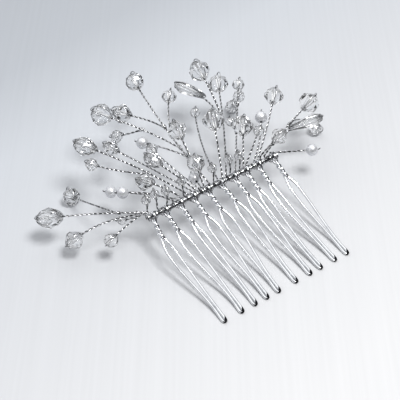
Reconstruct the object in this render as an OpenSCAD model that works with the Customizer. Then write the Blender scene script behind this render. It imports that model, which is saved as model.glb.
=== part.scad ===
// Decorative hair comb: ten hairpin tines on a wire spine, with sprays of
// crystal and pearl beads on twisted wire stems.
// Millimetres. X runs along the spine, the tines point to -Y and the sprays
// to +Y. The comb lies on its tine tips and its lowest beads, at Z = 0.

/* [Comb] */
// Number of tines
tine_count = 10; // [10:1:10]
// Distance from one tine to the next
tine_pitch = 4.8; // [4.6:0.1:5.2]
// Diameter of the tine wire
tine_wire_d = 0.84; // [0.7:0.02:0.9]
// Distance from the spine to the tine tips, seen from above
tine_reach = 36.5; // [30:0.5:40]
// Height of the spine above the resting surface
spine_height = 11; // [10:0.5:12]
// How far the middle of a tine sags below a straight line
tine_sag = 1.6; // [0:0.1:2]
// Length of the twisted neck of a tine
neck_length = 5; // [4:0.5:6]
// Largest distance between the two legs of a tine
leg_spread = 2.8; // [2:0.1:3]
// Diameter of the spine rod
spine_d = 0.9; // [0.7:0.1:1]

/* [Wire] */
// Diameter of a twisted pair of spray wires
stem_d = 0.62; // [0.6:0.02:0.9]
// Diameter of one spray wire
wire_d = 0.3; // [0.3:0.02:0.42]
// Diameter of the hole in a bead
bead_hole_d = 0.9; // [0.7:0.05:1]

/* [Footprint] */
// Distance of the spine's middle from the origin, along X
comb_x = -1.1; // [-5:0.1:5]
// Distance of the spine's middle from the origin, along Y
comb_y = -5.1; // [-10:0.1:5]

/* [Hidden] */
tine_r = tine_wire_d / 2;
spine_r = spine_d / 2;
stem_r = stem_d / 2;
wire_r = wire_d / 2;
// Gap between wires that lie against each other
clearance = 0.03;
// Sides of a thick and of a thin tube, and how far its ends bulge, as a share
// of its radius
tube_sides = 6;
thin_sides = 5;
end_bulge = 0.2;
// The spine rod passes the middle of the outermost tines by this much
spine_overhang = 1.2;
spine_end = (tine_count - 1) * tine_pitch / 2 + spine_overhang;
// The stems stand in a row behind the rod, clear of the tines' hooks
root_gap = 0.15;
root_y = spine_r + tine_wire_d + stem_r + root_gap;

// Hand-bent irregularity: sideways shift of each tine's root and tip
root_shift = [0.3, -0.2, 0.1, 0, 0.1, 0.1, 0.1, -0.2, -0.4, 0.3];
tip_shift = [-0.4, 0.6, 0.4, -0.3, -1.0, 0.4, 0.7, -0.2, 0.2, -0.1];
// How far its upper and its lower half bow sideways, and its own leg spread
upper_bow = [-2.5, -1, -0.3, 0.2, 1, 1.9, 0.8, 0, -1.3, 0.6];
lower_bow = [1.2, 1.9, 1.6, 0.8, 0.5, 0.5, 0.9, 0, 0.6, 0.4];
spread_share = [0.9, 1, 0.65, 1.1, 1.1, 1, 1, 0.8, 0.7, 0.95];

// A spray is [spine station, height above the spine, stems]. A stem is
// [bead kind, bead size, bead centre, bow, parent, start]. The bow pushes the
// middle of the stem aside. Parent -1 starts on the spine, "start" mm along
// from the station. Otherwise the stem starts on that stem of the spray, at
// the share "start" of its length.
SPRAYS = [
    [-21.6, 0, [
        ["oval", 7.4, [-44.5, 18, 9], [0, 0, 1.5], -1, 0],
        ["bicone", 5.4, [-32, 28, 2.6], [-2, 0, 2], 0, 0.34],
        ["bicone", 5.4, [-42, 9, 6], [-1, 2, 1.5], 0, 0.14],
        ["round", 4.4, [-34, 2, 7], [0, 0.5, 0.5], 0, 0.07],
        ["round", 3, [-27.5, 6.5, 7.6], [0, 0, -0.5], 0, 0.05]]],
    [-13, 0, [
        ["pearl", 3.5, [-23.5, 12, 12], [2, 1, 0.5], -1, 0],
        ["pearl", 3.5, [-24.5, 17, 9], [1, 0.5, 0], -1, 1.2]]],
    [-8, 0, [
        ["oval", 6.8, [-25, 29.5, 18], [1, 2, 0.5], -1, 0],
        ["round", 4, [-26, 24.5, 15], [0, -1, -0.5], 0, 0.4]]],
    [-10.6, 0.4, [
        ["bicone", 5.2, [-17.5, 9.5, 15], [1, 1, 0], -1, 0]]],
    [-5.2, 0.2, [
        ["oval", 5.6, [-11.5, 14, 17], [0, 0.5, 0.5], -1, 0],
        ["round", 3.8, [-8, 20, 15], [0, 0, -1], -1, 1.2],
        ["bicone", 5, [-17.5, 27.5, 15], [2, 0, -1.5], -1, -1.2]]],
    [-2.2, 0.4, [
        ["round", 5.6, [-1.5, 6.5, 16.2], [0, 0.4, -0.2], -1, 0],
        ["pearl", 3.5, [-2.5, 6, 11], [0, 0, -0.2], -1, -1]]],
    [-0.2, 0, [
        ["round", 6, [1.5, 43.5, 21], [-2.5, 0, 1.5], -1, 0],
        ["bicone", 6, [-7.5, 37, 17], [2, -1, 0], 0, 0.56],
        ["round", 7, [-14, 38, 19], [2.5, -1.5, 0], 0, 0.36],
        ["pearl", 3.8, [-8, 25, 14], [0, 1, 0.5], 0, 0.28],
        ["round", 4, [-13, 31.5, 14.5], [1, 0, -0.5], 2, 0.55],
        ["bicone", 4.6, [7.5, 33.5, 19], [-1, 0, 0.5], 0, 0.48],
        ["bicone", 6, [-0.5, 17.5, 20.5], [0, -1, 0], 0, 0.2]]],
    [3, -0.3, [
        ["round", 3.4, [16.5, 32.5, 9], [-2, 1, 0], -1, 0],
        ["bicone", 6.8, [12, 16.5, 19], [0, -0.5, 0.5], -1, 1.6]]],
    [6, 0, [
        ["bicone", 6.5, [26.5, 34, 15], [1, -0.5, 0], -1, 0],
        ["bicone", 6.8, [21, 36.5, 21], [0.5, 0, 1], 0, 0.62],
        ["drop", 10.5, [17.7, 37, 14.5], [2.5, 1, 0], 0, 0.62]]],
    [9.4, 0, [
        ["bicone", 4, [31.5, 30, 15], [0, 0, 1], -1, 0],
        ["round", 4, [31.5, 29.5, 10.5], [0, 0, 0], 0, 0.78],
        ["round", 4.4, [33, 35, 2], [1, 0, 2.5], 0, 0.6],
        ["round", 3.2, [21.5, 20.5, 11], [0, 0, -0.5], 0, 0.45]]],
    [12.4, 0.2, [
        ["bicone", 6.4, [19, 11, 17], [0, 0, 0.5], -1, 0],
        ["round", 3.6, [21.5, 6.5, 17], [0, 0, 0], -1, 1]]],
    [17.6, 0, [
        ["bicone", 6, [35.5, 17, 17], [0, -1, 0], -1, 0],
        ["pearl", 3.8, [27.5, 13, 15], [0.8, -1, 0], -1, -1.2]]],
    [20.2, 0.3, [
        ["bicone", 6.6, [43.5, 9.5, 15.5], [0, 0, 1.5], -1, 0],
        ["drop", 10.5, [38.7, 4.9, 13], [0.8, 3, -1.3], 0, 0.24],
        ["round", 4.4, [48, 10.5, 2.1], [2, 4, 1], 0, 0.6],
        ["pearl", 3.7, [34.5, -3.5, 10], [0, 1, -1], -1, 2.2]]],
    [18.8, 0.9, [
        ["bicone", 5, [25, 1, 17], [0, 0, 0.5], -1, 0]]]];

// Small clear beads close along the top of the spine
spine_bead_d = 3;
spine_bead_x = [-21.8, -18.4, -15, -9.3, 1.4, 7.6, 11];

// ---- Vectors and curves ----

function unit(v) = v / norm(v);
function mix(a, b, t) = a + (b - a) * t;

// Part of v at right angles to the unit vector d
function square_to(v, d) = v - (v * d) * d;

// Any unit vector at right angles to d
function any_normal(d) = abs(d[2]) < 0.9 ? unit(cross([0, 0, 1], d)) : unit(cross([1, 0, 0], d));

// Point on a quadratic curve with control points c[0], c[1], c[2]
function curve_point(c, t) = mix(mix(c[0], c[1], t), mix(c[1], c[2], t), t);
function curve_direction(c, t) = unit(mix(c[1] - c[0], c[2] - c[1], t));

// Smooth step from 0 at a to 1 at b
function ease(a, b, x) = let (t = min(1, max(0, (x - a) / (b - a)))) t * t * (3 - 2 * t);

// ---- Swept tubes ----

// Direction of a polyline at its point i
function heading(path, i) = unit(path[min(i + 1, len(path) - 1)] - path[max(i - 1, 0)]);

// One ring of a tube around c. Its first corner points along the normal.
function ring(c, d, normal, r, sides) =
    let (side = unit(cross(normal, d)), up = cross(d, side))
    [for (k = [0 : sides - 1]) c + r * (cos(360 * k / sides) * up - sin(360 * k / sides) * side)];

// Points of a tube: an end point, its rings, and the other end point
function tube_points(path, normal, r, sides) =
    let (last = len(path) - 1)
    concat(
        [path[0] - end_bulge * r * heading(path, 0)],
        [for (i = [0 : last]) each ring(path[i], heading(path, i), normal, r, sides)],
        [path[last] + end_bulge * r * heading(path, last)]);

// Faces of a tube of so many rings, whose points start at number "first"
function tube_faces(rings, sides, first) =
    let (end = first + 1 + rings * sides)
    concat(
        [for (k = [0 : sides - 1]) [first, first + 1 + k, first + 1 + (k + 1) % sides]],
        [for (i = [0 : rings - 2], k = [0 : sides - 1])
            let (a = first + 1 + i * sides + k,
                 b = first + 1 + i * sides + (k + 1) % sides)
            each [[a, a + sides, b], [b, a + sides, b + sides]]],
        [for (k = [0 : sides - 1])
            [end, end - sides + (k + 1) % sides, end - sides + k]]);

// Several separate tubes in one shape. A tube is [path, normal, radius, sides].
function tube_size(t) = len(t[0]) * t[3] + 2;
function tubes_before(tubes, i) = i == 0 ? 0 : tube_size(tubes[i - 1]) + tubes_before(tubes, i - 1);

module sweep(tubes) {
    polyhedron(
        points = [for (t = tubes) each tube_points(t[0], t[1], t[2], t[3])],
        faces = [for (i = [0 : len(tubes) - 1])
            each tube_faces(len(tubes[i][0]), tubes[i][3], tubes_before(tubes, i))],
        convexity = 10);
}

// ---- Tines ----

// Middle line of tine i, from the spine at t = 0 to the tip at t = 1. The tube
// tilts with the tine, so its flat underside reaches less than a radius down:
// this much less, which leaves the bend of the tip resting at Z = 0.
tip_drop = 0.07;
tip_height = tine_r - tip_drop;
function station(i) = (i - (tine_count - 1) / 2) * tine_pitch;
function tine_height(t) = mix(spine_height, tip_height, t) - 4 * tine_sag * t * (1 - t);
function tine_point(i, t) =
    [station(i) + mix(root_shift[i], tip_shift[i], t)
        + 3 * t * (1 - t) * (upper_bow[i] * (1 - t) + lower_bow[i] * t),
     -tine_reach * t, tine_height(t)];
function tine_heading(i, t) = unit(tine_point(i, t + 0.01) - tine_point(i, t - 0.01));

// Half of the distance between the legs: shut at the neck, widest a third of
// the way down, and nearly touching from "shut" to the tip
pair_r = tine_r + clearance;
tip_bend_r = 0.46;
widest = [0.29, 0.36];
shut = 0.86;
// The neck's twist starts a little below the hook
hook_gap = 0.5;
neck_top = (spine_r + tine_wire_d + hook_gap) / tine_reach;
neck_end = neck_top + neck_length / tine_reach;
tip_start = 1 - (tip_bend_r + tine_r) / tine_reach;
neck_turns = 1.5;
function half_gap(i, t) = mix(
    mix(pair_r, spread_share[i] * leg_spread / 2, ease(neck_end, widest[0], t)),
    tip_bend_r, ease(widest[1], shut, t));

// Strand of the neck: side is 1 or -1, and both turn about the middle line
function strand_point(i, t, side) =
    let (turn = 360 * neck_turns * (t - neck_top) / (neck_end - neck_top),
         d = tine_heading(i, t),
         across = unit(square_to([1, 0, 0], d)),
         above = cross(across, d))
    tine_point(i, t) + side * pair_r * (cos(turn) * across + sin(turn) * above);

// Leg of a tine. After an odd number of half turns the strands have swapped.
function leg_point(i, t, side) =
    tine_point(i, t) - side * half_gap(i, t) * unit(square_to([1, 0, 0], tine_heading(i, t)));

// Hook of a strand over the spine rod, over = 1, or under it, over = -1
hook_r = spine_r + tine_r + clearance;
function hook_point(i, angle, over) =
    [station(i) + root_shift[i] + over * pair_r,
     hook_r * cos(angle), spine_height + over * hook_r * sin(angle)];

function tine_path(i) =
    let (neck_steps = 12, leg_steps = 9)
    concat(
        [for (a = [-90 : 45 : 135]) hook_point(i, a, 1)],
        [for (k = [0 : neck_steps]) strand_point(i, mix(neck_top, neck_end, k / neck_steps), 1)],
        [for (k = [1 : leg_steps]) leg_point(i, mix(neck_end, tip_start, k / leg_steps), 1)],
        [for (a = [135 : -45 : 45])
            tine_point(i, tip_start)
            + tip_bend_r * (cos(a) * unit(square_to([1, 0, 0], tine_heading(i, 1)))
            + sin(a) * tine_heading(i, 1))],
        [for (k = [leg_steps : -1 : 1]) leg_point(i, mix(neck_end, tip_start, k / leg_steps), -1)],
        [for (k = [neck_steps : -1 : 0]) strand_point(i, mix(neck_top, neck_end, k / neck_steps), -1)],
        [for (a = [135 : -45 : -90]) hook_point(i, a, -1)]);

module tine(i) {
    lying_back = unit([0, spine_height, tine_reach]);
    color("silver")
        sweep([[tine_path(i), lying_back, tine_r, tube_sides]]);
}

// ---- Spine ----

module spine_rod() {
    color("gainsboro")
        translate([-spine_end, 0, spine_height])
            rotate([0, 90, 0])
                cylinder(r = spine_r, h = 2 * spine_end, $fn = 32);
}

// Binding wire: tight coils on the rod between the tines, and one pass over
// the top of each tine's hooks
coil_turns = 3;
coil_steps = 8;
coil_r = spine_r + wire_r + clearance;
coil_length = 1.6;
over_hook_r = spine_r + tine_wire_d + wire_r + 2 * clearance;
// The pass reaches past the hooks' own middle lines by this much
over_hook_reach = 0.2;
// Reference direction for its rings, which the path never follows
binding_normal = [0.94, 0.24, 0.24];

function coil(x, k) =
    let (angle = 90 + 360 * k / coil_steps)
    [x + coil_length * (k / (coil_turns * coil_steps) - 0.5),
     coil_r * cos(angle), spine_height + coil_r * sin(angle)];

function over_hook(i) =
    let (x = station(i) + root_shift[i], z = spine_height + over_hook_r)
    [[x - pair_r - over_hook_reach, 0, z], [x + pair_r + over_hook_reach, 0, z]];

binding_path = [for (i = [0 : tine_count - 1])
    each concat(
        over_hook(i),
        i < tine_count - 1
            ? [for (k = [0 : coil_turns * coil_steps]) coil(station(i + 0.5), k)]
            : [])];

module binding_wire() {
    color("silver")
        sweep([[binding_path, binding_normal, wire_r, thin_sides]]);
}

// ---- Beads ----

// Length and diameter of a bead of some size. A drop or an oval is long.
function bead_length(kind, size) =
    kind == "bicone" ? 0.95 * size :
    kind == "round" ? 0.86 * size :
    size;
function bead_d(kind, size) =
    kind == "drop" ? 0.4 * size :
    kind == "oval" ? 0.82 * size :
    size;

// Rings of a cut bead, as [share of its length, share of its radius, turn]
function cut_rings(kind) =
    kind == "bicone" ? [[-0.5, 0.36, 0], [-0.1, 1, 0], [0.1, 1, 0], [0.5, 0.36, 0]] :
    kind == "drop" ? [[-0.5, 0.42, 0], [0.16, 1, 0], [0.24, 1, 0], [0.5, 0.5, 0]] :
    [[-0.5, 0.4, 0], [-0.27, 0.85, 0.5], [0, 1, 0], [0.27, 0.85, 0.5], [0.5, 0.4, 0]];

module cut_bead(kind, size) {
    rings = cut_rings(kind);
    length = bead_length(kind, size);
    radius = bead_d(kind, size) / 2;
    sides = kind == "drop" ? 6 : 8;
    points = [for (r = rings, k = [0 : sides - 1])
        let (a = 360 * (k + r[2]) / sides)
        [radius * r[1] * cos(a), radius * r[1] * sin(a), length * r[0]]];
    last = (len(rings) - 1) * sides;
    // The triangles lean the way that the next ring is turned
    bands = [for (j = [0 : len(rings) - 2], k = [0 : sides - 1])
        let (a = j * sides + k,
             b = j * sides + (k + 1) % sides,
             lean = rings[j][2] > rings[j + 1][2])
        each lean
            ? [[a, a + sides, b + sides], [a, b + sides, b]]
            : rings[j][2] < rings[j + 1][2]
                ? [[a, a + sides, b], [a + sides, b + sides, b]]
                : [[a, a + sides, b + sides, b]]];
    difference() {
        polyhedron(
            points = points,
            faces = concat(
                [[for (k = [0 : sides - 1]) k]],
                bands,
                [[for (k = [sides - 1 : -1 : 0]) last + k]]),
            convexity = 4);
        cylinder(d = bead_hole_d, h = length + 2, center = true, $fn = 24);
    }
}

module pearl(size) {
    difference() {
        sphere(d = size, $fn = 48);
        cylinder(d = bead_hole_d, h = size + 2, center = true, $fn = 24);
    }
}

// ---- Sprays ----

// Along a bead's axis, from the bead's end: where the twisted pair stops,
// where the single wire starts, and how far it comes out of the far end
pair_gap = 0.4;
wire_start_gap = 0.26;
wire_exit = 0.1;
// The wire's loop clears the bead's far end and its side by these
loop_end_gap = 0.6;
loop_side_gap = 0.3;
// The loop ends beside the top of the pair, so far below the bead
loop_foot = 0.5;
// Crook at the end of a pearl's wire, as [back from the reach, aside]
pearl_crook = [[0, 0.5], [0.2, 0.9]];

// Control points of a stem, from its start to the centre of its bead
function stem_start(spray, stem) =
    let (parent = stem[4])
    parent < 0
        ? [spray[0] + stem[5], root_y, spine_height + spray[1]]
        : let (c = stem_curve(spray, spray[2][parent]),
               p = curve_point(c, stem[5]),
               away = unit(square_to(stem[2] + stem[3] - p, curve_direction(c, stem[5]))))
          p + (stem_d + clearance) * away;

function stem_curve(spray, stem) =
    let (from = stem_start(spray, stem), to = stem[2])
    [from, (from + to) / 2 + stem[3], to];

// Direction of a stem where it meets its bead, which is the bead's own axis
function bead_axis(c) = unit(c[2] - c[1]);

// Share of the curve where the twisted pair stops, short of the bead
function stem_stop(c, half_length) = 1 - (half_length + pair_gap) / norm(c[2] - c[1]) / 2;

// The twisted pair of a stem, as one round tube
function stem_tube(c, half_length) =
    let (steps = 7, stop = stem_stop(c, half_length),
         bend = cross(c[1] - c[0], c[2] - c[1]),
         normal = norm(bend) > 0.01 ? unit(bend) : any_normal(bead_axis(c)))
    [[for (k = [0 : steps]) curve_point(c, stop * k / steps)], normal, stem_r, tube_sides];

// The single wire: through the bead, round its far end and back outside it.
// A pearl's wire only goes through and ends in a short crook.
function bead_wire(c, kind, half_length, half_d) =
    let (d = bead_axis(c),
         out = unit(square_to([0, -0.4, 1], d)),
         reach = half_length + loop_end_gap,
         rise = half_d + wire_r + loop_side_gap,
         outside = kind == "pearl"
             ? [for (p = pearl_crook) [reach - p[0], p[1]]]
             : concat(
                 [for (a = [15, 45, 75, 105, 130, 150]) [reach * cos(a), rise * sin(a)]],
                 [[-half_length - loop_foot, stem_r + wire_r + wire_exit]]))
    [concat(
        [c[2] - (half_length + wire_start_gap) * d, c[2] + (half_length + wire_exit) * d],
        [for (p = outside) c[2] + p[0] * d + p[1] * out]),
     cross(d, out), wire_r, thin_sides];

module spray_wire(spray) {
    color("silver")
        sweep([for (stem = spray[2])
            let (c = stem_curve(spray, stem),
                 half_length = bead_length(stem[0], stem[1]) / 2)
            each [
                stem_tube(c, half_length),
                bead_wire(c, stem[0], half_length, bead_d(stem[0], stem[1]) / 2)]]);
}

// Stands its children's Z axis along the stem and moves them to the bead
module at_bead(spray, stem) {
    d = bead_axis(stem_curve(spray, stem));
    translate(stem[2])
        rotate([0, acos(d[2]), atan2(d[1], d[0])])
            children();
}

module spray_crystals(spray) {
    color("aliceblue")
        for (stem = spray[2])
            if (stem[0] != "pearl")
                at_bead(spray, stem)
                    cut_bead(stem[0], stem[1]);
}

module spray_pearls(spray) {
    color("ivory")
        for (stem = spray[2])
            if (stem[0] == "pearl")
                at_bead(spray, stem)
                    pearl(stem[1]);
}

// ---- Beads along the spine, a spray of its own with one stem for each ----

// Their stems start so far above the rod, and each bead sits at this offset
// from its station. Every other one stands further back.
spine_bead_lift = 0.8;
spine_bead_offset = [0.6, 3.2, 3.6];
spine_bead_stagger = 0.6;
spine_bead_bow = [0, -0.5, 0.3];

spine_spray = [0, spine_bead_lift, [for (i = [0 : len(spine_bead_x) - 1])
    let (x = spine_bead_x[i],
         centre = [x, spine_bead_stagger * (i % 2), spine_height] + spine_bead_offset)
    ["round", spine_bead_d, centre, spine_bead_bow, -1, x]]];

module placed() {
    translate([comb_x, comb_y, 0])
        children();
}

// Sprays numbered as in their nodes' names
module wire_node(n) {
    placed()
        spray_wire(SPRAYS[n - 1]);
}

module crystal_node(n) {
    placed()
        spray_crystals(SPRAYS[n - 1]);
}

module pearl_node(n) {
    placed()
        spray_pearls(SPRAYS[n - 1]);
}

module tine_node(n) {
    placed()
        tine(n - 1);
}

tine_node(1);  // tine_01
tine_node(2);  // tine_02
tine_node(3);  // tine_03
tine_node(4);  // tine_04
tine_node(5);  // tine_05
tine_node(6);  // tine_06
tine_node(7);  // tine_07
tine_node(8);  // tine_08
tine_node(9);  // tine_09
tine_node(10);  // tine_10
placed() spine_rod();
placed() binding_wire();
placed() spray_wire(spine_spray);  // spine_bead_wires
placed() spray_crystals(spine_spray);  // spine_beads
wire_node(1);  // spray_01_wire
wire_node(2);  // spray_02_wire
wire_node(3);  // spray_03_wire
wire_node(4);  // spray_04_wire
wire_node(5);  // spray_05_wire
wire_node(6);  // spray_06_wire
wire_node(7);  // spray_07_wire
wire_node(8);  // spray_08_wire
wire_node(9);  // spray_09_wire
wire_node(10);  // spray_10_wire
wire_node(11);  // spray_11_wire
wire_node(12);  // spray_12_wire
wire_node(13);  // spray_13_wire
wire_node(14);  // spray_14_wire
crystal_node(1);  // spray_01_crystals
crystal_node(3);  // spray_03_crystals
crystal_node(4);  // spray_04_crystals
crystal_node(5);  // spray_05_crystals
crystal_node(6);  // spray_06_crystals
crystal_node(7);  // spray_07_crystals
crystal_node(8);  // spray_08_crystals
crystal_node(9);  // spray_09_crystals
crystal_node(10);  // spray_10_crystals
crystal_node(11);  // spray_11_crystals
crystal_node(12);  // spray_12_crystals
crystal_node(13);  // spray_13_crystals
crystal_node(14);  // spray_14_crystals
pearl_node(2);  // spray_02_pearls
pearl_node(6);  // spray_06_pearls
pearl_node(7);  // spray_07_pearls
pearl_node(12);  // spray_12_pearls
pearl_node(13);  // spray_13_pearls
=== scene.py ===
"""Looks of the decorative hair comb: silver wire, cut crystal and pearls.

Every wire follows the middle line of its own CAD solid. The CAD stands in one
plain tube for each twisted pair, and this script winds the pair's two strands.
"""

import math
import random

import bpy
import numpy as np
from mathutils import Matrix, Vector


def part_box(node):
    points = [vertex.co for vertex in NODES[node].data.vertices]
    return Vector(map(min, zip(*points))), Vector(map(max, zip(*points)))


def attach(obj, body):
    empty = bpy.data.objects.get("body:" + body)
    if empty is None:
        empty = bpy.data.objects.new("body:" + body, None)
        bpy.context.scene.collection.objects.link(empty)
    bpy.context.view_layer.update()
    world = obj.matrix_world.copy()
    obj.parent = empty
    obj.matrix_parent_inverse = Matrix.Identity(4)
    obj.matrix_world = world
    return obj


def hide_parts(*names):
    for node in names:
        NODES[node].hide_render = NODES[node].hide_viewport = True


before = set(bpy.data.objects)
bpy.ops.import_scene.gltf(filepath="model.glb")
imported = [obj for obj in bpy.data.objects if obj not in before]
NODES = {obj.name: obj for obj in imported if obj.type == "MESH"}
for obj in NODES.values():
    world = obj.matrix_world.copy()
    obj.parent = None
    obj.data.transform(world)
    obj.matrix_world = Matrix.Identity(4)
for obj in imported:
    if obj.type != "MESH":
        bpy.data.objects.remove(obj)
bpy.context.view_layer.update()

MM = 0.001
SPRAY_COUNT = 14
TINE_COUNT = 10

WIRE_R = 0.15 * MM        # one spray wire
TINE_R = 0.42 * MM        # tine wire
BORE_R = 0.45 * MM        # hole through a bead
ROOT_Y = 1.75 * MM        # the stems' roots stand in a row this far behind the rod's middle
OVER_COIL = 0.96 * MM     # from the rod's middle to a strand wound over the binding
OVER_HOOK = 1.5 * MM      # and to one wound over a tine's hooks
AROUND_STEM = 0.46 * MM   # from a stem's middle to a strand wound round it
BEFORE_BEAD = 0.26 * MM   # from the top of a twisted pair to its bead
AFTER_BEAD = 0.1 * MM     # from the bead to where its wire starts to bend back


# ---- Reading the middle lines of the CAD wires ----

def unit(v):
    return v / np.linalg.norm(v)


def square_to(v, d):
    """The part of v at right angles to the unit vector d."""
    return v - np.dot(v, d) * d


def ease(a, b, x):
    t = min(1.0, max(0.0, (x - a) / (b - a)))
    return t * t * (3 - 2 * t)


def welded(obj):
    """Corner positions of a CAD node with doubles joined, and each one's neighbours."""
    mesh = obj.data
    co = np.empty(len(mesh.vertices) * 3)
    mesh.vertices.foreach_get("co", co)
    keys, first, number = np.unique(
        np.round(co.reshape(-1, 3) / (0.0001 * MM)).astype(np.int64),
        axis=0, return_index=True, return_inverse=True)
    number = number.ravel()
    edges = np.empty(len(mesh.edges) * 2, dtype=np.int64)
    mesh.edges.foreach_get("vertices", edges)
    near = [set() for _ in keys]
    for a, b in number[edges].reshape(-1, 2):
        if a != b:
            near[a].add(b)
            near[b].add(a)
    return co.reshape(-1, 3)[first], near


def middle_lines(obj):
    """(points, radius) of every swept wire in a CAD node. Each wire's mesh runs
    from one end point through rings of corners to the other end point, and only
    next to an end point do all the neighbours have five neighbours themselves."""
    co, near = welded(obj)
    ends = [v for v in range(len(co)) if near[v] and all(len(near[n]) == 5 for n in near[v])]
    seen, lines = set(), []
    for end in ends:
        if end in seen:
            continue
        layers, current = [], [end]
        seen.add(end)
        while current:
            layers.append(current)
            current = sorted({n for v in current for n in near[v]} - seen)
            seen.update(current)
        points = np.array([co[ring].mean(axis=0) for ring in layers[1:-1]])
        radius = np.linalg.norm(co[layers[1]] - points[0], axis=1).max()
        lines.append((points, radius))
    return lines


# ---- Curves and tubes ----

def smooth_line(points, step):
    """A curve through the points (centripetal Catmull-Rom), with a point every step or so."""
    points = np.asarray(points)
    p = np.vstack([2 * points[0] - points[1], points, 2 * points[-1] - points[-2]])
    line = []
    for i in range(1, len(p) - 2):
        q = p[i - 1:i + 3]
        t = np.concatenate([[0], np.cumsum(np.sqrt(np.linalg.norm(np.diff(q, axis=0), axis=1)) + 1e-9)])
        count = max(1, int(round(np.linalg.norm(q[2] - q[1]) / step)))
        for k in range(count):
            x = t[1] + (t[2] - t[1]) * k / count
            a = [((t[j + 1] - x) * q[j] + (x - t[j]) * q[j + 1]) / (t[j + 1] - t[j]) for j in range(3)]
            b = [((t[j + 2] - x) * a[j] + (x - t[j]) * a[j + 1]) / (t[j + 2] - t[j]) for j in range(2)]
            line.append(((t[2] - x) * b[0] + (x - t[1]) * b[1]) / (t[2] - t[1]))
    line.append(p[-2])
    return np.array(line)


def headings(line):
    ahead = np.vstack([line[1:], line[-1:]]) - np.vstack([line[:1], line[:-1]])
    return ahead / np.linalg.norm(ahead, axis=1)[:, None]


def frames(line, normal, core=None, start=0):
    """Headings and two cross directions at each point. The first cross direction is the
    normal at the starting point, and is carried along both ways without twisting. With a
    core, it points to the core's own point instead."""
    ways = headings(line)
    sides = np.empty_like(line)
    side = square_to(np.asarray(normal, dtype=float), ways[start])
    if np.linalg.norm(side) < 0.01:
        side = square_to(np.array([0.3, 0.5, 0.8]), ways[start])
    sides[start] = unit(side)
    for run in (range(start, len(line)), range(start - 1, -1, -1)):
        side = sides[start]
        for i in run:
            side = unit(square_to(side, ways[i]))
            if core is not None:
                inward = square_to(core[i] - line[i], ways[i])
                if np.linalg.norm(inward) > 0.5 * WIRE_R:
                    side = unit(inward)
            sides[i] = side
    return ways, sides, np.cross(ways, sides)


class Mesh:
    """Gathers tubes and lathe shapes, and becomes one object."""

    def __init__(self):
        self.corners, self.faces, self.uvs = [], [], []

    def rings(self, rows, closed_ends, lengths):
        """Joins rows of corners into a skin. Its UV map gives the share of the way
        round, and the length that belongs to each row."""
        first = len(self.corners)
        sides = len(rows[0])
        for row in rows:
            self.corners.extend(row)
        for j in range(len(rows) - 1):
            for k in range(sides):
                a, b = first + j * sides + k, first + j * sides + (k + 1) % sides
                self.faces.append((a, b, b + sides, a + sides))
                self.uvs.extend([(k / sides, lengths[j]), ((k + 1) / sides, lengths[j]),
                                 ((k + 1) / sides, lengths[j + 1]), (k / sides, lengths[j + 1])])
        if closed_ends:
            last = first + (len(rows) - 1) * sides
            for start, ring, length in ((first, range(sides - 1, -1, -1), lengths[0]),
                                        (last, range(sides), lengths[-1])):
                self.faces.append(tuple(start + k for k in ring))
                self.uvs.extend([(k / sides, length) for k in ring])

    def tube(self, line, radius, sides=10, normal=(0.1, 0.3, 0.9), core=None, start=0):
        """A round wire along the line with slightly rounded cut ends. The UV map's seam
        faces the normal at the start, or the core, and its lengths count from the start."""
        ways, across, up = frames(line, normal, core, start)
        length = np.concatenate([[0], np.cumsum(np.linalg.norm(np.diff(line, axis=0), axis=1))]) / MM
        length -= length[start]
        angles = [2 * math.pi * k / sides for k in range(sides)]
        rows, lengths = [], []

        def add(centre, i, r):
            rows.append([tuple(centre + r * (math.cos(a) * across[i] + math.sin(a) * up[i]))
                         for a in angles])
            lengths.append(length[i])

        last = len(line) - 1
        add(line[0] - 0.3 * radius * ways[0], 0, 0.6 * radius)
        add(line[0] - 0.1 * radius * ways[0], 0, 0.93 * radius)
        for i in range(1, last):
            add(line[i], i, radius)
        add(line[last] + 0.1 * radius * ways[last], last, 0.93 * radius)
        add(line[last] + 0.3 * radius * ways[last], last, 0.6 * radius)
        self.rings(rows, True, lengths)

    def build(self, name, material, replaced):
        mesh = bpy.data.meshes.new(name)
        mesh.from_pydata([tuple(float(x) for x in c) for c in self.corners], [], self.faces)
        layer = mesh.uv_layers.new(name="along")
        layer.data.foreach_set("uv", [x for uv in self.uvs for x in uv])
        mesh.polygons.foreach_set("use_smooth", [True] * len(mesh.polygons))
        mesh.materials.append(material)
        mesh.validate()
        obj = bpy.data.objects.new(name, mesh)
        bpy.context.scene.collection.objects.link(obj)
        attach(obj, "root")
        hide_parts(*replaced)


# ---- Materials ----

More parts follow.
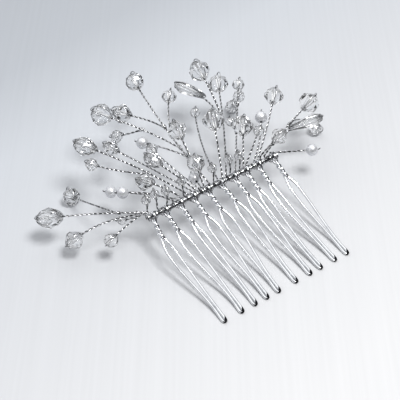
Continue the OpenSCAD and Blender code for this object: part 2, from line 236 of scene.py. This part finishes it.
class Nodes:
    """A short way to write node trees."""

    def __init__(self, tree):
        self.tree = tree
        tree.nodes.clear()

    def add(self, kind, values=None, **settings):
        node = self.tree.nodes.new(kind)
        for key, value in settings.items():
            setattr(node, key, value)
        for key, value in (values or {}).items():
            if isinstance(value, bpy.types.NodeSocket):
                self.tree.links.new(value, node.inputs[key])
            else:
                node.inputs[key].default_value = value
        return node

    def ramp(self, factor, stops):
        """A colour ramp. A stop is (position, grey level or colour)."""
        node = self.add("ShaderNodeValToRGB", {"Fac": factor})
        ends = node.color_ramp.elements
        while len(ends) < len(stops):
            ends.new(1.0)
        for end, (position, colour) in zip(ends, stops):
            end.position = position
            level = colour if isinstance(colour, tuple) else (colour, colour, colour)
            end.color = (*level, 1.0)
        return node.outputs["Color"]

    def noise(self, vector, scale, detail, **values):
        node = self.add("ShaderNodeTexNoise", {"Vector": vector, "Scale": scale, "Detail": detail, **values})
        return node.outputs["Fac"]

    def arith(self, operation, a, b=0.0):
        """One step of arithmetic."""
        return self.add("ShaderNodeMath", {0: a, 1: b}, operation=operation).outputs["Value"]

    def remap(self, value, start, end, low=0.0, high=1.0):
        """A value from start to end becomes low to high, and stays there beyond."""
        node = self.add("ShaderNodeMapRange", {"Value": value, "From Min": start, "From Max": end,
                                               "To Min": low, "To Max": high})
        return node.outputs["Result"]

    def mix(self, factor, a, b, blend="MIX"):
        """Colour a with colour b laid over it."""
        node = self.add("ShaderNodeMix", {"Factor": factor, 6: a, 7: b}, data_type="RGBA", blend_type=blend)
        return node.outputs[2]

    def bump(self, height, strength, distance, **values):
        node = self.add("ShaderNodeBump", {"Height": height, "Strength": strength, "Distance": distance,
                                           **values})
        return node.outputs["Normal"]


def material(name):
    made = bpy.data.materials.new(name)
    made.use_nodes = True
    return made, Nodes(made.node_tree)


# Black for painted shade between twisted strands and for a painted dark reflection at the tine tips
PAINTED_SHADE_AND_REFLECTION_BLACK = (0.012, 0.012, 0.014, 1.0)


def silver(name, bright, tarnish, rough, grain, painted_shade_width=None, painted_reflection_reach=None):
    """Silver-plated wire: bright metal with darker tarnish in clouds, faint draw
    lines along the wire and tiny dents. Grain is the number of clouds per metre. The
    width of black painted shade on the side that faces the wire's core, where strands
    shade each other, can be given as a share of its girth; and how far, in mm, a black
    painted reflection of dark surroundings reaches from the wire's starting point
    along its outer side."""
    made, n = material(name)
    where = n.add("ShaderNodeTexCoord")
    clouds = n.noise(where.outputs["Object"], grain, 4.0, Roughness=0.6)
    stretch = n.add("ShaderNodeMapping", {"Vector": where.outputs["UV"], "Scale": (24.0, 0.12, 1.0)})
    lines = n.noise(stretch.outputs["Vector"], 1.0, 3.0)
    dents = n.noise(where.outputs["Object"], 2600.0, 2.0)
    colour = n.ramp(clouds, [(0.32, tarnish), (0.5, bright), (0.75, bright)])
    if painted_shade_width or painted_reflection_reach:
        along = n.add("ShaderNodeSeparateXYZ", {"Vector": where.outputs["UV"]})
        # 0 on the side away from the UV map's seam, and 0.5 on the seam
        inward = n.arith("ABSOLUTE", n.arith("SUBTRACT", along.outputs["X"], 0.5))
        if painted_shade_width:
            # painted shade: black on the side that faces the core, where twisted strands would shade each
            # other
            painted_dark_mask = n.ramp(inward, [(0.46 - painted_shade_width, 0.0), (0.5 - 0.5 * painted_shade_width, 1.0)])
        else:
            # painted reflection: black on the outer side near the start, where a tine tip would mirror dark
            # surroundings
            reach = n.remap(inward, 0.0, 0.5, painted_reflection_reach, 0.2 * painted_reflection_reach)
            length = along.outputs["Y"]
            ahead = n.remap(length, n.arith("SUBTRACT", reach, 0.3), reach, 1.0, 0.0)
            behind = n.remap(length, -0.6, -0.2)
            painted_dark_mask = n.arith("MULTIPLY", ahead, behind)
        colour = n.mix(painted_dark_mask, colour, PAINTED_SHADE_AND_REFLECTION_BLACK)
    uneven = n.arith("MULTIPLY", clouds, lines)
    lines_bump = n.bump(lines, 0.12, 0.00003)
    shader = n.add("ShaderNodeBsdfPrincipled", {
        "Base Color": colour, "Metallic": 1.0,
        "Roughness": n.remap(uneven, 0.0, 1.0, rough, rough + 0.35),
        "Normal": n.bump(dents, 0.2, 0.00004, Normal=lines_bump)})
    n.add("ShaderNodeOutputMaterial", {"Surface": shader.outputs["BSDF"]})
    return made


def crystal():
    """Clear cut lead glass with faint veils and hairline scratches. A little of a
    lamp's light goes straight through it, so its shadow isn't quite black."""
    made, n = material("cut_crystal")
    where = n.add("ShaderNodeTexCoord")
    veils = n.noise(where.outputs["Object"], 420.0, 3.0, Distortion=1.5)
    scratches = n.add("ShaderNodeTexVoronoi", {"Vector": where.outputs["Object"], "Scale": 900.0},
                      feature="DISTANCE_TO_EDGE")
    hairlines = n.ramp(scratches.outputs["Distance"], [(0.0, 1.0), (0.012, 0.0)])
    shader = n.add("ShaderNodeBsdfPrincipled", {
        "Base Color": n.ramp(veils, [(0.3, (0.985, 0.99, 0.995)), (0.6, (1.0, 1.0, 1.0))]),
        "Roughness": n.remap(hairlines, 0.0, 1.0, 0.0, 0.05),
        "IOR": 1.72, "Transmission Weight": 1.0, "Metallic": 0.03,
        "Normal": n.bump(hairlines, 0.05, 0.00001)})
    shadow = n.add("ShaderNodeBsdfTransparent", {"Color": (0.06, 0.062, 0.066, 1.0)})
    light = n.add("ShaderNodeLightPath")
    mixed = n.add("ShaderNodeMixShader", {0: light.outputs["Is Shadow Ray"],
                                          1: shader.outputs["BSDF"], 2: shadow.outputs["BSDF"]})
    n.add("ShaderNodeOutputMaterial", {"Surface": mixed.outputs["Shader"]})
    return made


def nacre():
    """White pearl coating: soft body colour in faint bands, a clear glossy coat
    and a trace of colour towards the rim."""
    made, n = material("pearl_nacre")
    where = n.add("ShaderNodeTexCoord")
    bands = n.noise(where.outputs["Object"], 650.0, 5.0, Distortion=0.8)
    pores = n.noise(where.outputs["Object"], 5200.0, 2.0)
    rim = n.add("ShaderNodeLayerWeight", {"Blend": 0.35})
    body = n.ramp(bands, [(0.3, (0.70, 0.71, 0.73)), (0.7, (0.79, 0.80, 0.82))])
    tint = n.ramp(rim.outputs["Facing"], [(0.0, (0.92, 0.92, 0.92)), (0.55, (0.85, 0.84, 0.87)),
                                          (1.0, (0.72, 0.76, 0.78))])
    shader = n.add("ShaderNodeBsdfPrincipled", {
        "Base Color": n.mix(0.5, body, tint, "MULTIPLY"), "Metallic": 0.55,
        "Roughness": n.remap(bands, 0.0, 1.0, 0.2, 0.36),
        "Coat Weight": 0.8, "Coat Roughness": 0.08, "IOR": 1.55,
        "Normal": n.bump(pores, 0.1, 0.00001)})
    n.add("ShaderNodeOutputMaterial", {"Surface": shader.outputs["BSDF"]})
    return made


# The tines get a black painted reflection of dark surroundings near their tips
TINE_SILVER = silver("tine_silver", (0.90, 0.91, 0.925), (0.76, 0.77, 0.79), 0.06, 300.0, painted_reflection_reach=2.6)
# The stems get black painted shade on each strand's side that faces its partner
STEM_SILVER = silver("stem_silver", (0.74, 0.745, 0.755), (0.04, 0.04, 0.045), 0.06, 900.0, painted_shade_width=0.34)
BINDING_SILVER = silver("binding_silver", (0.36, 0.365, 0.38), (0.03, 0.03, 0.035), 0.08, 900.0)
SPINE_SILVER = silver("spine_silver", (0.14, 0.143, 0.15), (0.015, 0.015, 0.018), 0.14, 500.0)
CRYSTAL = crystal()
NACRE = nacre()


# ---- Camera ----

spine_low, spine_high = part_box("spine_rod")
SPINE = np.array((spine_low + spine_high) / 2)
VIEW_AZIMUTH = math.radians(-35.4)
VIEW_ELEVATION = math.radians(44)
VIEW_DISTANCE = 328 * MM
VIEW_LEFT = 3.8 * MM
VIEW_UP = 3.9 * MM

toward = np.array([math.sin(VIEW_AZIMUTH) * math.cos(VIEW_ELEVATION),
                   -math.cos(VIEW_AZIMUTH) * math.cos(VIEW_ELEVATION),
                   math.sin(VIEW_ELEVATION)])
rightward = np.array([math.cos(VIEW_AZIMUTH), math.sin(VIEW_AZIMUTH), 0.0])
upward = np.cross(toward, rightward)
under_spine = np.array([SPINE[0], SPINE[1], 0.0])

camera_data = bpy.data.cameras.new("camera")
camera_data.lens = 99
camera_data.sensor_width = 36
camera_data.clip_start = 0.01
camera = bpy.data.objects.new("camera", camera_data)
bpy.context.scene.collection.objects.link(camera)
spot = under_spine + VIEW_DISTANCE * toward - VIEW_LEFT * rightward + VIEW_UP * upward
turn = Matrix([rightward, upward, toward]).transposed()
camera.matrix_world = Matrix.Translation(Vector(spot)) @ turn.to_4x4()
bpy.context.scene.camera = camera


# ---- Tines ----

for number in range(1, TINE_COUNT + 1):
    node = "tine_%02d" % number
    points, _ = middle_lines(NODES[node])[0]
    # Followed from its right-hand end, so that the painted dark reflection on the tip reaches along the same
    # leg of each
    if points[0][0] < points[-1][0]:
        points = points[::-1]
    line = smooth_line(points, 0.3 * MM)
    # A round wire reaches lower than the CAD's six-sided one, so it is lifted to rest on the surface
    line[:, 2] = np.maximum(line[:, 2], TINE_R)
    made = Mesh()
    made.tube(line, TINE_R, sides=16, normal=(0, 1, 0), start=int(np.argmin(line[:, 1])))
    made.build("hairpin_%02d" % number, TINE_SILVER, [node])


# ---- Spine rod and binding ----

rod = NODES["spine_rod"]
rod.data.materials.clear()
rod.data.materials.append(SPINE_SILVER)

points, _ = middle_lines(NODES["binding_wire"])[0]
made = Mesh()
made.tube(smooth_line(points, 0.16 * MM), WIRE_R, sides=8)
made.build("spine_binding", BINDING_SILVER, ["binding_wire"])

tine_stations = []
for number in range(1, TINE_COUNT + 1):
    points, _ = middle_lines(NODES["tine_%02d" % number])[0]
    tine_stations.append((points[0][0] + points[-1][0]) / 2)


# ---- Stems: a twisted pair, one strand through the bead and back round it ----

TWIST_PITCH = 2.6 * MM     # length of one turn of a twisted pair, at least
TWIST_SPREAD = 0.7 * MM    # and how much longer it can be
LASH_CLEAR = 1.1 * MM      # from a tine's middle to the first strand that is wound beside it
LASH_STEP = 0.32 * MM      # from one strand to the next beside it
LASHES_ABREAST = 3         # strands side by side, before the next ones lie over them
LASH_LAYER = 0.24 * MM     # how much further out those lie
LASH_DRIFT = 0.25 * MM     # how far a strand moves along the rod as it winds
LASH_SETTLED = 0.45        # the share of its winding after which a strand is in its place
LASH_TURNS = 0.9           # turns round the rod, at least
LASH_TURNS_SPREAD = 0.3
JUNCTION_TURNS = 1.4       # turns round the stem that a strand branches from
JUNCTION_START = 0.3 * MM  # down the parent stem from the branch to a strand's first turn
JUNCTION_RUN = 1.1 * MM    # length of the parent stem that its turns take up
SECOND_SHIFT = 0.42 * MM   # how much further down the second strand is wound

random_source = random.Random(7)
lashes = {}


def lash(root, start, side):
    """The end of a strand, wound round the rod beside the nearest tine. It starts
    behind the rod, and goes under it, up its front and over its top."""
    tine = min(range(TINE_COUNT), key=lambda i: abs(tine_stations[i] - root[0]))
    taken = lashes[(tine, side)] = lashes.get((tine, side), -1) + 1
    beside = LASH_CLEAR + LASH_STEP * (taken % LASHES_ABREAST)
    stop_x = tine_stations[tine] + side * beside
    layer = LASH_LAYER * (taken // LASHES_ABREAST)
    begin = math.atan2(start[2] - SPINE[2], start[1] - SPINE[1])
    begin_r = math.hypot(start[2] - SPINE[2], start[1] - SPINE[1])
    turns = LASH_TURNS + LASH_TURNS_SPREAD * random_source.random()
    points_per_turn = 14
    count = int(turns * points_per_turn)
    points = []
    for k in range(1, count + 1):
        u = k / count
        x = root[0] + (stop_x - root[0]) * ease(0, LASH_SETTLED, u) + side * LASH_DRIFT * (u - 0.5)
        off_tine = abs(x - tine_stations[tine])
        r = OVER_HOOK + (OVER_COIL - OVER_HOOK) * ease(0.85 * MM, 1.25 * MM, off_tine) + layer
        r = begin_r + (r - begin_r) * ease(0, 0.25, u)
        angle = begin - 2 * math.pi * turns * u
        y, z = SPINE[1] + r * math.cos(angle), SPINE[2] + r * math.sin(angle)
        points.append((x, y, z, x, SPINE[1], SPINE[2]))
    return np.array(points)


def junction(parent, start, shift):
    """The end of a strand, wound round the stem that it branches from."""
    away = np.linalg.norm(parent - start, axis=1)
    at = int(np.argmin(away))
    ways, across, up = frames(parent, (0.2, 0.1, 0.9))
    out = square_to(start - parent[at], ways[at])
    begin = math.atan2(np.dot(out, up[at]), np.dot(out, across[at]))
    step = np.linalg.norm(parent[1] - parent[0])
    count = 18
    points = []
    for k in range(1, count + 1):
        u = k / count
        back = max(0, at - int(round((JUNCTION_START + shift + JUNCTION_RUN * u) / step)))
        angle = begin + 2 * math.pi * JUNCTION_TURNS * u
        r = AROUND_STEM + 0.2 * MM * (1 - ease(0, 0.25, u))
        around = r * (math.cos(angle) * across[back] + math.sin(angle) * up[back])
        points.append((*(parent[back] + around), *parent[back]))
    return np.array(points)


def is_pearl(wire):
    """A pearl's wire ends in a short crook, and has fewer points than one that goes
    round a crystal."""
    return len(wire) < 6


def bead_of(wire):
    """Centre, axis and half length of the bead on a single wire. The wire's first two
    points are on the axis, one before the bead and one after it."""
    span = np.linalg.norm(wire[1] - wire[0])
    axis = (wire[1] - wire[0]) / span
    half = (span - BEFORE_BEAD - AFTER_BEAD) / 2
    return wire[0] + (half + BEFORE_BEAD) * axis, axis, half


def pair_up(node):
    """Each stem of a node as (pair's line from root to top, single wire from there)."""
    lines = middle_lines(NODES[node])
    pairs = [p for p, r in lines if r > 1.5 * WIRE_R]
    singles = [p for p, r in lines if r <= 1.5 * WIRE_R]
    stems = []
    for pair in pairs:
        best = None
        for single in singles:
            for a in (0, -1):
                for b in (0, -1):
                    gap = np.linalg.norm(pair[a] - single[b])
                    if best is None or gap < best[0]:
                        best = (gap, a, b, single)
        _, a, b, single = best
        stems.append((pair if a == -1 else pair[::-1], single if b == 0 else single[::-1]))
    return stems


def wind_stem(made, pair, wire, parent, pitch):
    """Adds the one wire that makes a stem: up, through the bead, round it, and down.
    A row of six numbers is a point of the wire and the point that it winds round."""
    step = 0.16 * MM
    line = smooth_line(pair, step)[::-1]
    centre, axis, half = bead_of(wire)
    if is_pearl(wire):
        out = square_to(wire[-1] - centre, axis)
    else:
        out = square_to(wire[4] - centre, axis)
    ways, across, up = frames(line, out)
    along = np.concatenate([[0], np.cumsum(np.linalg.norm(np.diff(line, axis=0), axis=1))])
    angle = 2 * math.pi * along / pitch
    offset = WIRE_R * (np.cos(angle)[:, None] * across + np.sin(angle)[:, None] * up)
    first = np.hstack([line - offset, line])[::-1]
    second = np.hstack([line + offset, line])
    root = line[-1]
    if parent is None:
        first_end = lash(root, first[0, :3], -1)
        second_end = lash(root, second[-1, :3], 1)
    else:
        first_end = junction(parent, first[0, :3], 0.0)
        second_end = junction(parent, second[-1, :3], SECOND_SHIFT)
    shares = (-0.9, -0.3, 0.3, 0.9) if is_pearl(wire) else (-0.8, -0.3, 0.3, 0.8)
    in_bore = [centre + share * half * axis for share in shares]
    through = np.hstack([in_bore, in_bore])
    round_bead = np.array([[*point, *centre] for point in wire[1:]])
    way_up = [first_end[::-1], first[::3], through, round_bead]
    way_down = [second[::3], second_end]
    for parts in ([way_up, way_down] if is_pearl(wire) else [way_up + way_down]):
        whole = smooth_line(np.vstack(parts), 0.2 * MM)
        made.tube(whole[:, :3], WIRE_R, sides=8, core=whole[:, 3:])


pearl_wires = []


def build_wires(node, name):
    """All the stems of a node. One that doesn't start in the row of roots behind the
    rod branches from the nearest other stem."""
    stems = pair_up(node)
    curves = [smooth_line(pair, 0.1 * MM) for pair, _ in stems]
    made = Mesh()
    for i, (pair, wire) in enumerate(stems):
        parent = None
        if abs(pair[0][1] - SPINE[1] - ROOT_Y) > 0.1 * MM:
            others = [c for j, c in enumerate(curves) if j != i]
            parent = min(others, key=lambda c: np.linalg.norm(c - pair[0], axis=1).min())
        pitch = TWIST_PITCH + TWIST_SPREAD * random_source.random()
        wind_stem(made, pair, wire, parent, pitch)
        if is_pearl(wire):
            pearl_wires.append((node, wire))
    made.build(name, STEM_SILVER, [node])


build_wires("spine_bead_wires", "spine_bead_stems")
for number in range(1, SPRAY_COUNT + 1):
    build_wires("spray_%02d_wire" % number, "spray_%02d_stems" % number)


# ---- Pearls ----

def add_pearl(made, centre, axis, radius):
    """A pearl turned about its bore, with a soft lip where the bore comes out."""
    _, across, up = frames(np.array([centre, centre + axis * MM]), (0.3, 0.2, 0.9))
    lip = math.asin((BORE_R + 0.12 * MM) / radius)
    rows = [(-0.75 * radius, BORE_R), (-math.cos(lip) * radius + 0.1 * MM, BORE_R),
            (-math.cos(lip) * radius + 0.02 * MM, BORE_R + 0.03 * MM)]
    for k in range(31):
        a = lip + (math.pi - 2 * lip) * k / 30
        rows.append((-radius * math.cos(a), radius * math.sin(a)))
    rows += [(-z, r) for z, r in rows[2::-1]]
    sides = 48
    outward = [math.cos(a) * across[0] + math.sin(a) * up[0]
               for a in (2 * math.pi * k / sides for k in range(sides))]
    made.rings([[centre + z * axis + r * out for out in outward] for z, r in rows + rows[:1]],
               False, list(range(len(rows) + 1)))


for node in sorted({node for node, _ in pearl_wires}):
    made = Mesh()
    for wire in [w for n, w in pearl_wires if n == node]:
        centre, axis, half = bead_of(wire)
        add_pearl(made, centre, axis, half)
    made.build(node.replace("wire", "nacre_beads"), NACRE, [node.replace("wire", "pearls")])


# ---- Crystals: the CAD beads, with their cut edges polished round ----

for node, obj in NODES.items():
    if not (node.endswith("crystals") or node == "spine_beads"):
        continue
    obj.data.materials.clear()
    obj.data.materials.append(CRYSTAL)
    weld = obj.modifiers.new("weld", "WELD")
    weld.merge_threshold = 0.001 * MM
    bevel = obj.modifiers.new("polished_edges", "BEVEL")
    bevel.width = 0.04 * MM
    bevel.segments = 2
    bevel.limit_method = "ANGLE"
    bevel.angle_limit = math.radians(20)
    bevel.use_clamp_overlap = True


# ---- Floor, lights and surroundings ----

def floor_material():
    """Pale board with faint streaks that run away from the camera; painted light makes it brighter towards
    the near right.
    """
    made, n = material("pale_board")
    where = n.add("ShaderNodeTexCoord")
    turned = n.add("ShaderNodeMapping", {"Vector": where.outputs["Object"],
                                         "Rotation": (0.0, 0.0, -VIEW_AZIMUTH)})
    stretched = n.add("ShaderNodeMapping", {"Vector": turned.outputs["Vector"], "Scale": (1.0, 0.012, 1.0)})
    streaks = n.noise(stretched.outputs["Vector"], 900.0, 3.0)
    parts = n.add("ShaderNodeSeparateXYZ", {"Vector": turned.outputs["Vector"]})
    slope = n.arith("SUBTRACT", parts.outputs["X"], parts.outputs["Y"])
    # painted light: the board's colour grows brighter towards the near right, standing in for the lamps'
    # fall-off
    painted_light_tone = n.ramp(n.remap(slope, -0.4, 0.1), [
        (0.0, (0.35, 0.37, 0.395)), (0.4, (0.365, 0.385, 0.415)), (0.54, (0.385, 0.405, 0.435)),
        (0.64, (0.47, 0.49, 0.52)), (0.77, (0.50, 0.51, 0.53)), (1.0, (0.575, 0.575, 0.58))])
    streak = n.ramp(streaks, [(0.3, 0.965), (0.7, 1.0)])
    shader = n.add("ShaderNodeBsdfPrincipled", {
        "Base Color": n.mix(1.0, painted_light_tone, streak, "MULTIPLY"), "Roughness": 0.55,
        "Normal": n.bump(streaks, 0.1, 0.00002)})
    n.add("ShaderNodeOutputMaterial", {"Surface": shader.outputs["BSDF"]})
    return made


half = 1.6
floor_mesh = bpy.data.meshes.new("floor")
floor_mesh.from_pydata([(-half, -half, 0), (half, -half, 0), (half, half, 0), (-half, half, 0)],
                       [], [(0, 1, 2, 3)])
floor_mesh.materials.append(floor_material())
floor = bpy.data.objects.new("floor", floor_mesh)
bpy.context.scene.collection.objects.link(floor)


def softbox(name, towards, distance, size, power):
    """A round lamp that faces the spine."""
    data = bpy.data.lights.new(name, "AREA")
    data.shape = "DISK"
    data.size = size
    data.energy = power
    obj = bpy.data.objects.new(name, data)
    bpy.context.scene.collection.objects.link(obj)
    direction = unit(np.array(towards))
    obj.location = Vector(under_spine + distance * direction)
    obj.rotation_euler = Vector(direction).to_track_quat("Z", "Y").to_euler()


softbox("key", (0.12, -0.28, 0.95), 0.6, 0.24, 3.5)


def studio_world():
    """A dim room with one wide bright patch overhead, a little beyond the comb and to
    its left as the camera sees it."""
    world = bpy.data.worlds.new("studio")
    world.use_nodes = True
    bpy.context.scene.world = world
    n = Nodes(world.node_tree)
    sky = n.add("ShaderNodeTexCoord")
    turned = n.add("ShaderNodeMapping", {"Vector": sky.outputs["Generated"],
                                         "Rotation": (0.0, 0.0, -VIEW_AZIMUTH)})
    level = n.add("ShaderNodeVectorMath", {0: turned.outputs["Vector"], 1: (-0.3, 0.4, 0.87)},
                  operation="DOT_PRODUCT")
    glow = n.ramp(level.outputs["Value"], [
        (0.0, (0.06, 0.06, 0.065)), (0.15, (0.1, 0.1, 0.105)), (0.35, (0.295, 0.3, 0.31)),
        (0.6, (0.435, 0.44, 0.455)), (0.75, (0.57, 0.58, 0.595)), (0.88, (0.98, 0.99, 1.0)),
        (1.0, (0.98, 0.99, 1.0))])
    background = n.add("ShaderNodeBackground", {"Color": glow, "Strength": 1.25})
    n.add("ShaderNodeOutputWorld", {"Surface": background.outputs["Background"]})


studio_world()
bpy.context.scene.view_settings.view_transform = "Standard"
